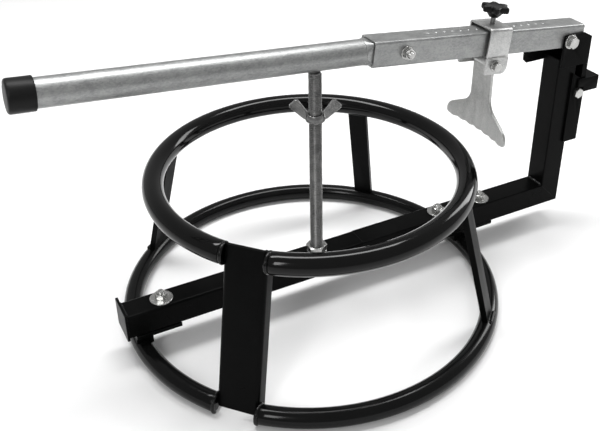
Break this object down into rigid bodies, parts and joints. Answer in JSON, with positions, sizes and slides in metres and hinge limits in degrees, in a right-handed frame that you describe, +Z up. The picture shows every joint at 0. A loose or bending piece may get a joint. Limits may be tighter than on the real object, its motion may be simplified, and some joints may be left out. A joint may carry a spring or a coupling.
{
  "type": "motorcycle tyre changer",
  "caption": "Portable tyre changer: a ring stand for a wheel, a centre rod with wing nut, and a hinged bead-breaker lever with a sliding shoe and clamp knob",
  "frame": {"origin": "middle of the footprint on the floor, at the middle of the overall length", "axes": "+X towards the post and lever hinge, +Y away from the front, +Z up"},
  "size_m": [0.7577, 0.4794, 0.372],
  "materials": {
    "black_powder_coat": "satin black powder coat",
    "black_vinyl": "glossy black vinyl sleeve",
    "black_plastic": "moulded black plastic",
    "zinc_steel": "mottled satin zinc plating",
    "bright_zinc": "bright zinc plating"
  },
  "bodies": {
    "stand": {"base_ring": "black_powder_coat", "top_ring": "black_powder_coat", "top_ring_sleeve": "black_vinyl", "leg_joint_channel": "black_powder_coat", "leg_front_right": "black_powder_coat", "leg_back_right": "black_powder_coat", "leg_back_left": "black_powder_coat", "cross_bar": "black_powder_coat", "post_arm": "black_powder_coat", "post": "black_powder_coat", "bar_splice_tube": "black_powder_coat", "bar_end_plate": "black_powder_coat", "mounting_pad_left": "black_powder_coat", "mounting_pad_right": "black_powder_coat", "bar_bolts": "bright_zinc", "bar_bolt_washers": "bright_zinc", "bar_bolt_nuts": "bright_zinc", "threaded_rod": "bright_zinc", "rod_nuts": "bright_zinc", "rod_washer": "bright_zinc", "hinge_bracket": "black_powder_coat", "stop_block": "black_powder_coat", "hinge_bolt": "bright_zinc", "hinge_washers": "bright_zinc", "hinge_nut": "bright_zinc", "bracket_bolt": "bright_zinc", "bracket_nut": "bright_zinc", "bracket_washer": "bright_zinc"},
    "lever": {"lever_tube": "zinc_steel", "handle_spigot": "zinc_steel", "handle_neck": "zinc_steel", "handle_pipe": "zinc_steel", "handle_end_cap": "black_plastic", "handle_bolt": "bright_zinc", "handle_bolt_washers": "bright_zinc", "handle_nut": "bright_zinc", "pivot_bush": "bright_zinc"},
    "slider": {"slider_saddle": "zinc_steel", "yoke_tab_front": "zinc_steel", "yoke_tab_rear": "zinc_steel", "shoe_pivot_bolt": "bright_zinc", "shoe_pivot_washers": "bright_zinc", "shoe_pivot_nut": "bright_zinc"},
    "knob": {"clamp_knob": "black_plastic", "clamp_screw": "bright_zinc"},
    "shoe": {"shoe_blade": "zinc_steel", "shoe_barrel": "zinc_steel"},
    "wing_nut_body": {"wing_nut": "bright_zinc"}
  },
  "joints": [
    {"name": "lever_hinge", "type": "hinge", "parent": "stand", "child": "lever", "pos_m": [0.3199, 0, 0.2845], "axis": [0, 1, 0], "range_deg": [0, 85]},
    {"name": "slider_slide", "type": "slide", "parent": "lever", "child": "slider", "axis": [0.994, 0, -0.109], "range_m": [-0.0363, 0.0363]},
    {"name": "knob_turn", "type": "hinge", "parent": "slider", "child": "knob", "pos_m": [0.20166, 0, 0.32363], "axis": [0.109, 0, 0.994], "continuous": true},
    {"name": "shoe_swing", "type": "hinge", "parent": "slider", "child": "shoe", "pos_m": [0.19512, 0, 0.27686], "axis": [0, 1, 0], "range_deg": [-35, 20]},
    {"name": "wing_nut_travel", "type": "slide", "parent": "stand", "child": "wing_nut_body", "axis": [0, 0, 1], "range_m": [-0.16, 0.028]}
  ]
}
